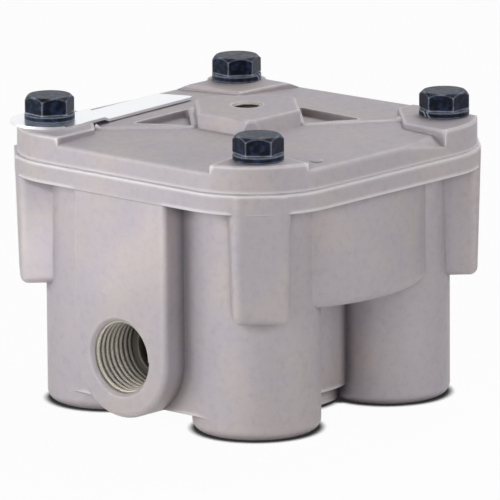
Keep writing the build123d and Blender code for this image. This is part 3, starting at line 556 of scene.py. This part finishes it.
@dataclass
class GrownPiece:
    """A piece grown by Geometry Nodes and kept as a plain mesh that rides on the housing."""

    name: str
    slot: str
    material: bpy.types.Material

    def sizes(self) -> dict[str, float]:
        """Named inputs of the tree."""
        raise NotImplementedError

    def seed(self) -> bpy.types.Mesh:
        """Mesh that the tree starts from; empty unless a piece needs one."""
        return bpy.data.meshes.new(self.name + "_seed")

    def grow(self, tree: Tree, source: Sockets) -> Socket:
        """Adds the nodes that make the shape.

        Args:
            tree: Tree of the piece.
            source: The tree's inputs: the seed's geometry and the sizes by name.

        Returns:
            The geometry.
        """
        raise NotImplementedError

    def tree(self) -> Tree:
        """Builds the whole tree, from its inputs to the painted mesh."""
        tree = bpy.data.node_groups.new(self.name + "_nodes", "GeometryNodeTree")
        tree.interface.new_socket("Geometry", in_out="INPUT", socket_type="NodeSocketGeometry")
        for label in self.sizes():
            tree.interface.new_socket(label, in_out="INPUT", socket_type="NodeSocketFloat")
        tree.interface.new_socket("Geometry", in_out="OUTPUT", socket_type="NodeSocketGeometry")
        shape = self.grow(tree, add_node(tree, "NodeGroupInput").node.outputs)
        real = add_node(tree, "GeometryNodeRealizeInstances", (shape,))
        ready = add_node(tree, "GeometryNodeSetMaterial", {"Geometry": real, "Material": self.material})
        add_node(tree, "NodeGroupOutput", {"Geometry": ready})
        return tree

    def build(self) -> bpy.types.Object:
        """Grows the piece and makes it a plain mesh at the origin."""
        carrier = bpy.data.objects.new(self.name + "_seed", self.seed())
        bpy.context.scene.collection.objects.link(carrier)
        modifier = carrier.modifiers.new("grow", "NODES")
        modifier.node_group = self.tree()
        values = self.sizes()
        for item in modifier.node_group.interface.items_tree:
            if item.item_type == "SOCKET" and item.name in values:
                modifier[item.identifier] = values[item.name]
        piece = plain_copy(carrier, self.name)
        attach(piece, "housing")
        LOG.info("%s: %d faces", self.name, len(piece.data.polygons))
        return piece


@dataclass
class PipeThread(GrownPiece):
    """The helical ridge of one tapered pipe thread, standing in its smooth bore."""

    pitch: Pitch
    radius: float
    length: float
    mouth: tuple[float, float, float]
    turn: tuple[float, float, float]
    steps_per_turn: int = 72
    depth_share: float = 0.27
    crest_share: float = 0.12
    taper: float = 1 / 32

    def sizes(self) -> dict[str, float]:
        """Radius, pitch, length, and the ridge's height and crest width, in metres."""
        return {"Radius": self.radius, "Pitch": self.pitch.step, "Length": self.length,
                "Depth": self.pitch.step * self.depth_share, "Crest": self.pitch.step * self.crest_share}

    def grow(self, tree: Tree, source: Sockets) -> Socket:
        """Sweeps a V profile along a tapering spiral and moves it into the bore."""
        turns = add_node(tree, MATH, (source["Length"], source["Pitch"]), operation="DIVIDE")
        shrink = add_node(tree, MATH, (source["Length"], self.taper), operation="MULTIPLY")
        inner = add_node(tree, MATH, (source["Radius"], shrink), operation="SUBTRACT")
        path = add_node(tree, "GeometryNodeCurveSpiral", {
            "Resolution": self.steps_per_turn, "Rotations": turns, "Start Radius": source["Radius"],
            "End Radius": inner, "Height": source["Length"],
        })
        upright = add_node(tree, "GeometryNodeSetCurveNormal", {"Curve": path}, mode="Z_UP")
        root = add_node(tree, MATH, (source["Pitch"], 0.5), operation="MULTIPLY")
        crest = add_node(tree, MATH, (source["Crest"], 0.5), operation="MULTIPLY")
        corners = {}
        for depth, half_width, side in ((0.0, root, -1), (source["Depth"], crest, -1),
                                        (source["Depth"], crest, 1), (0.0, root, 1)):
            across = add_node(tree, MATH, (half_width, side), operation="MULTIPLY")
            spot = add_node(tree, "ShaderNodeCombineXYZ", {"X": depth, "Y": across})
            corners[f"Point {len(corners) + 1}"] = spot
        profile = add_node(tree, "GeometryNodeCurvePrimitiveQuadrilateral", corners, mode="POINTS")
        ridge = add_node(tree, "GeometryNodeCurveToMesh", {
            "Curve": upright, "Profile Curve": profile, "Fill Caps": True,
        })
        return add_node(tree, "GeometryNodeTransform", {
            "Geometry": ridge, "Translation": self.mouth, "Rotation": self.turn,
        })


@dataclass
class CoverRib(GrownPiece):
    """A low cast rib on the roof, from beside the hub round a bend to a screw pad."""

    plan: tuple[tuple[float, float], tuple[float, float], tuple[float, float]]
    radius: float = 1.2 * MM
    sides: int = 16
    sunk: float = 0.5 * MM
    bend_reach: float = 2.5 * MM
    bend_steps: int = 8
    step: float = 1.5 * MM
    highest_climb: float = 2.0 * MM

    def sizes(self) -> dict[str, float]:
        """Radius of the rib in metres."""
        return {"Radius": self.radius}

    def leg(self, first: Vector, last: Vector) -> list[Vector]:
        """Plan points in even steps from the first point up to, but without, the last."""
        count = max(2, round((last - first).length / self.step))
        return [first.lerp(last, index / count) for index in range(count)]

    def route(self) -> list[Vector]:
        """Plan points of the whole rib, with its bend rounded."""
        start, bend, end = (Vector(spot) for spot in self.plan)
        before = bend + (start - bend).normalized() * self.bend_reach
        after = bend + (end - bend).normalized() * self.bend_reach
        points = self.leg(start, before)
        for index in range(self.bend_steps + 1):
            share = index / self.bend_steps
            points.append(before.lerp(bend, share).lerp(bend.lerp(after, share), share))
        return points + self.leg(after, end)[1:] + [end]

    def seed(self) -> bpy.types.Mesh:
        """Lays the route on the cover's roof and sinks it a little."""
        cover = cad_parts["cover"]
        points = self.route()
        heights = [cover.ray_cast(Vector((*spot, WELL_ABOVE)), DOWN)[1].z for spot in points]
        top = min(heights) + self.highest_climb
        laid = [(*spot, min(height, top) - self.sunk) for spot, height in zip(points, heights)]
        mesh = super().seed()
        mesh.from_pydata(laid, [(index, index + 1) for index in range(len(laid) - 1)], [])
        return mesh

    def grow(self, tree: Tree, source: Sockets) -> Socket:
        """Sweeps a circle along the seed's edges."""
        path = add_node(tree, "GeometryNodeMeshToCurve", (source["Geometry"],))
        circle = add_node(tree, "GeometryNodeCurvePrimitiveCircle", {
            "Resolution": self.sides, "Radius": source["Radius"],
        })
        rib = add_node(tree, "GeometryNodeCurveToMesh", {
            "Curve": path, "Profile Curve": circle, "Fill Caps": True,
        })
        return add_node(tree, "GeometryNodeSetShadeSmooth", {"Geometry": rib})


@dataclass
class Castings:
    """The body and the cover, with the pipe threads in their ports and the ribs on the roof."""

    supply_z: float = 20.9 * MM
    supply_radius: float = 10.5 * MM
    supply_depth: float = 15.8 * MM
    supply_thread_from: float = 1.6 * MM
    panel_face: float = 55.4 * MM
    column_place: float = 28.4 * MM
    delivery_radius: float = 8.55 * MM
    delivery_length: float = 15.0 * MM
    delivery_chamfer: float = 0.9 * MM
    control_radius: float = 4.2 * MM
    control_length: float = 9.4 * MM
    control_chamfer: float = 0.4 * MM
    control_fade_from: float = 0.2 * MM
    control_fade_to: float = 1.6 * MM
    port_margin: float = 0.15 * MM
    bore_reach: float = 20.0 * MM
    small_turn_steps: int = 48
    rib_start_ahead: float = -17.0 * MM
    rib_start_aside: float = 15.1 * MM
    rib_bend_ahead: float = 9.3 * MM
    rib_bend_aside: float = 15.3 * MM
    rib_end_aside: float = 44.6 * MM
    left_rib_end_ahead: float = 5.1 * MM
    right_rib_end_ahead: float = 1.7 * MM
    # Strength of the painted highlight on the cover's edges and of the painted shade in its hollows.
    cover_highlight_share: float = 0.7
    cover_hollow_shade_share: float = 0.15
    hub_top: float = field(init=False)

    def __post_init__(self) -> None:
        """Reads the hub's height from the frame."""
        self.hub_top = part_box("cover")[1].z

    def dress(self) -> None:
        """Gives body and cover their cast finish, with cut metal inside the ports, and adds the ribs."""
        supply = PortZone((0.0, -self.panel_face, self.supply_z), (0.0, 1.0, 0.0),
                          self.supply_radius + self.port_margin, self.bore_reach)
        delivery = PortZone((self.column_place, self.column_place, 0.0), (0.0, 0.0, 1.0),
                            self.delivery_radius + self.port_margin, self.bore_reach, mirrored=True)
        control = PortZone((0.0, 0.0, self.hub_top), tuple(DOWN), self.control_radius + self.port_margin,
                           self.bore_reach, fade_from=self.control_fade_from, fade_to=self.control_fade_to)
        dress("body", CastAluminium("cast_aluminium_body", ports=(supply, delivery)).build())
        cover = CastAluminium("cast_aluminium_cover", highlight_share=self.cover_highlight_share,
                              hollow_shade_share=self.cover_hollow_shade_share, ports=(control,)).build()
        dress("cover", cover)
        self.rib("cover_rib_left", -1, self.left_rib_end_ahead, cover)
        self.rib("cover_rib_right", 1, self.right_rib_end_ahead, cover)

    def rib(self, name: str, side: int, end_ahead: float, material: bpy.types.Material) -> None:
        """Adds one rib on the roof.

        Args:
            name: Name of the rib.
            side: Minus one on the left of the hub, one on its right.
            end_ahead: How far the rib's end lies towards the front corner.
            material: Finish of the rib.
        """
        plan = (self.diagonal(self.rib_start_ahead, side * self.rib_start_aside),
                self.diagonal(self.rib_bend_ahead, side * self.rib_bend_aside),
                self.diagonal(end_ahead, side * self.rib_end_aside))
        CoverRib(name, "cast_cover", material, plan).build()

    @staticmethod
    def diagonal(ahead: float, aside: float) -> tuple[float, float]:
        """Plan point that lies so far towards the front corner and so far towards the right corner."""
        return (ahead + aside) / math.sqrt(2), (aside - ahead) / math.sqrt(2)

    def threads(self) -> None:
        """Adds the supply, delivery and control threads."""
        self.supply_thread()
        self.delivery_threads()
        self.control_thread()

    def supply_thread(self) -> None:
        """Adds the thread behind the supply port's chamfer."""
        finish = CutAluminium("cut_aluminium_supply_thread", "Y", PortZone.fade_from - self.panel_face,
                              PortZone.fade_to - self.panel_face).build()
        mouth = (0.0, self.supply_thread_from - self.panel_face, self.supply_z)
        PipeThread("supply_thread", "cast_body", finish, Pitch.HALF_INCH, self.supply_radius,
                   self.supply_depth - self.supply_thread_from, mouth, (-QUARTER_TURN, 0.0, 0.0)).build()

    def delivery_threads(self) -> None:
        """Adds one thread in the foot of each column."""
        finish = CutAluminium("cut_aluminium_delivery_thread", "Z", PortZone.fade_from,
                              PortZone.fade_to).build()
        for corner in Corner:
            x, y = (sign * self.column_place for sign in corner.value)
            PipeThread("delivery_thread_" + corner.label, "cast_body", finish, Pitch.THREE_EIGHTHS_INCH,
                       self.delivery_radius, self.delivery_length, (x, y, self.delivery_chamfer),
                       (0.0, 0.0, 0.0), self.small_turn_steps).build()

    def control_thread(self) -> None:
        """Adds the thread that goes down from the top of the hub."""
        finish = CutAluminium("cut_aluminium_control_thread", "Z", self.hub_top - self.control_fade_from,
                              self.hub_top - self.control_fade_to).build()
        mouth = (0.0, 0.0, self.hub_top - self.control_chamfer)
        PipeThread("control_thread", "cast_cover", finish, Pitch.EIGHTH_INCH, self.control_radius,
                   self.control_length, mouth, (2 * QUARTER_TURN, 0.0, 0.0), self.small_turn_steps).build()


@dataclass
class Fasteners:
    """The four cap screws, their lock washers and the blank tag."""

    washer_roughness: float = 0.38

    def dress(self) -> None:
        """Gives them black oxide and bright sheet."""
        screw = BlackOxide("black_oxide_screw").build()
        washer = BlackOxide("black_oxide_washer", roughness=self.washer_roughness).build()
        for corner in Corner:
            dress("cover_screw_" + corner.label, screw)
            dress("lock_washer_" + corner.label, washer)
        dress("id_tag", BrightSheet("bright_aluminium_sheet").build())


@dataclass
class Internals:
    """Everything inside: piston, valve, spring, seals and the exhaust plug."""

    turned_roughness: float = 0.3
    plated_roughness: float = 0.33
    spring_roughness: float = 0.3

    def finishes(self) -> dict[Finish, tuple[str, ...]]:
        """Each inner finish with the CAD nodes that have it."""
        return {
            MouldedRubber("nitrile_rubber"): (
                "cover_seal_ring", "piston_o_ring", "valve_face", "exhaust_cover_o_ring",
                "valve_guide_o_ring", "exhaust_diaphragm"),
            # Turned aluminium is a clear pale grey.
            PlainMetal("turned_aluminium", "#C8C8CA", self.turned_roughness): (
                "relay_piston", "inlet_exhaust_valve"),
            # Zinc plate gives steel a yellowish grey.
            PlainMetal("zinc_plated_steel", "#B9B29C", self.plated_roughness): (
                "valve_retainer", "diaphragm_washer", "diaphragm_screw"),
            # Oiled spring steel is a dark grey with soft highlights.
            PlainMetal("oiled_spring_steel", "#5A5B60", self.spring_roughness): (
                "valve_spring", "retaining_ring"),
            CastAluminium("cast_aluminium_plug", "#B9B6B8"): ("exhaust_cover",),
        }

    def dress(self) -> None:
        """Gives each inner piece its metal or rubber."""
        for finish, nodes in self.finishes().items():
            material = finish.build()
            for node in nodes:
                dress(node, material)


@dataclass(frozen=True)
class SoftBox:
    """One square lamp that looks at the valve, placed by its bearing from the supply side and its height."""

    name: str
    bearing: float
    elevation: float
    power: float
    size: float = 0.9
    distance: float = 1.6
    spread: float = 180.0
    aside: tuple[float, float] = (0.0, 0.0)

    def build(self, aim: Vector) -> None:
        """Adds the lamp.

        Args:
            aim: Point that the lamp looks at, before its own shift aside.
        """
        away = outward(self.bearing, self.elevation)
        data = bpy.data.lights.new(self.name, "AREA")
        data.shape, data.size, data.energy = "SQUARE", self.size, self.power
        data.spread = math.radians(self.spread)
        lamp = bpy.data.objects.new(self.name, data)
        bpy.context.scene.collection.objects.link(lamp)
        lamp.location = aim + Vector((*self.aside, 0.0)) + away * self.distance
        lamp.rotation_mode = "QUATERNION"
        lamp.rotation_quaternion = (-away).to_track_quat("-Z", "Y")


@dataclass
class Studio:
    """Floor, lamps, world and the camera at the photograph's angle."""

    azimuth: float = 41.94
    elevation: float = 12.78
    roll: float = -0.41
    distance: float = 2.283
    focal_pixels: float = 7862.0
    image_pixels: float = 500.0
    sensor_mm: float = 36.0
    near_clip: float = 0.1
    far_clip: float = 20.0
    aim_right: float = 0.54 * MM
    aim_height: float = 42.9 * MM
    world_strength: float = 0.03
    floor_half: float = 6.0
    floor_level: float = -0.05 * MM
    floor_glow: float = 0.96
    # Painted contact shadow on the paper round the feet: its reach, its span of openness and its darkest
    # glow.
    contact_shadow_reach: float = 3.2 * MM
    contact_shadow_span: tuple[float, float] = (0.48, 0.86)
    contact_shadow_glow: float = 0.02
    # The near boxes light the left more than the right, as in the photograph. The last one is a narrow beam
    # for the lug on the left.
    lamps: tuple[SoftBox, ...] = (
        SoftBox("front", 12.0, 15.0, 7.2),
        SoftBox("back_top", 180.0, 60.0, 8.6),
        SoftBox("near_left", -25.0, 10.0, 0.74, size=0.3, distance=0.5),
        SoftBox("side_left", -48.0, 8.0, 0.19, size=0.3, distance=0.5),
        SoftBox("near_right", 100.0, 15.0, 0.52, size=0.3, distance=0.5),
        SoftBox("left_lug", 62.0, 14.0, 0.0019, size=0.03, distance=0.9, spread=2.6,
                aside=(-47.0 * MM, -43.0 * MM)),
    )

    def camera(self) -> None:
        """Places the camera that was fitted to the photograph."""
        back = outward(self.azimuth, self.elevation)
        turn, roll = math.radians(self.azimuth), math.radians(self.roll)
        right = Vector((math.cos(turn), math.sin(turn), 0.0))
        data = bpy.data.cameras.new("camera")
        data.sensor_width = self.sensor_mm
        data.lens = self.focal_pixels * self.sensor_mm / self.image_pixels
        data.clip_start, data.clip_end = self.near_clip, self.far_clip
        camera = bpy.data.objects.new("camera", data)
        bpy.context.scene.collection.objects.link(camera)
        aim = right * self.aim_right + Vector((0.0, 0.0, self.aim_height))
        camera.location = aim + back * self.distance
        camera.rotation_mode = "QUATERNION"
        camera.rotation_quaternion = (-back).to_track_quat("-Z", "Y") @ Quaternion((0.0, 0.0, 1.0), roll)
        bpy.context.scene.camera = camera

    def world(self) -> None:
        """Makes a world that is white to look at and in reflections, and faint as light."""
        world = bpy.data.worlds.new("studio_world")
        bpy.context.scene.world = world
        world.use_nodes = True
        tree = world.node_tree
        tree.nodes.clear()
        faint = add_node(tree, "ShaderNodeBackground", {
            "Color": linear("#F4F5F8"), "Strength": self.world_strength,
        })
        white = add_node(tree, "ShaderNodeBackground", {"Color": linear("#FFFFFF"), "Strength": 1.0})
        mixed = add_node(tree, "ShaderNodeMixShader", (seen_directly(tree), faint, white))
        add_node(tree, "ShaderNodeOutputWorld", {"Surface": mixed})

    def paper(self) -> bpy.types.Material:
        """White paper: it glows faintly, has a painted contact shadow where a foot stands on it, and is
        clear from below.
        """
        material = bpy.data.materials.new("white_paper")
        material.use_nodes = True
        tree = material.node_tree
        tree.nodes.clear()
        openness = add_node(tree, OCCLUSION, {"Distance": self.contact_shadow_reach}, "AO",
                            samples=OCCLUSION_SAMPLES)
        # Painted shadow: the paper's glow drops where a foot closes it in.
        contact_shadow = add_node(tree, RANGE, (openness, *self.contact_shadow_span, self.contact_shadow_glow, 1.0))
        matt = add_node(tree, "ShaderNodeBsdfDiffuse", {"Color": linear("#FAFAFA")})
        glow = add_node(tree, "ShaderNodeEmission", {"Color": linear("#FFFFFF"), "Strength": contact_shadow})
        share = add_node(tree, MATH, (seen_directly(tree), self.floor_glow), operation="MULTIPLY")
        lit = add_node(tree, "ShaderNodeMixShader", (share, matt, glow))
        under = add_node(tree, "ShaderNodeNewGeometry", output="Backfacing")
        clear = add_node(tree, "ShaderNodeBsdfTransparent")
        mixed = add_node(tree, "ShaderNodeMixShader", (under, lit, clear))
        add_node(tree, "ShaderNodeOutputMaterial", {"Surface": mixed})
        return material

    def floor(self) -> None:
        """Lays the paper just under the feet."""
        mesh = bpy.data.meshes.new("floor")
        half, level = self.floor_half, self.floor_level
        corners = [(-half, -half, level), (half, -half, level), (half, half, level), (-half, half, level)]
        mesh.from_pydata(corners, [], [(0, 1, 2, 3)])
        mesh.materials.append(self.paper())
        floor = bpy.data.objects.new("floor", mesh)
        bpy.context.scene.collection.objects.link(floor)

    def build(self) -> None:
        """Builds the whole studio."""
        self.camera()
        for lamp in self.lamps:
            lamp.build(Vector((0.0, 0.0, self.aim_height)))
        self.world()
        self.floor()
        bpy.context.scene.view_settings.view_transform = "Standard"


def main() -> None:
    """Builds the studio and dresses every piece."""
    logging.basicConfig(level=logging.INFO)
    Studio().build()
    castings = Castings()
    castings.dress()
    castings.threads()
    Fasteners().dress()
    Internals().dress()
    LOG.info("dressed %d solids", len(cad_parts))


if __name__ == "__main__":
    main()
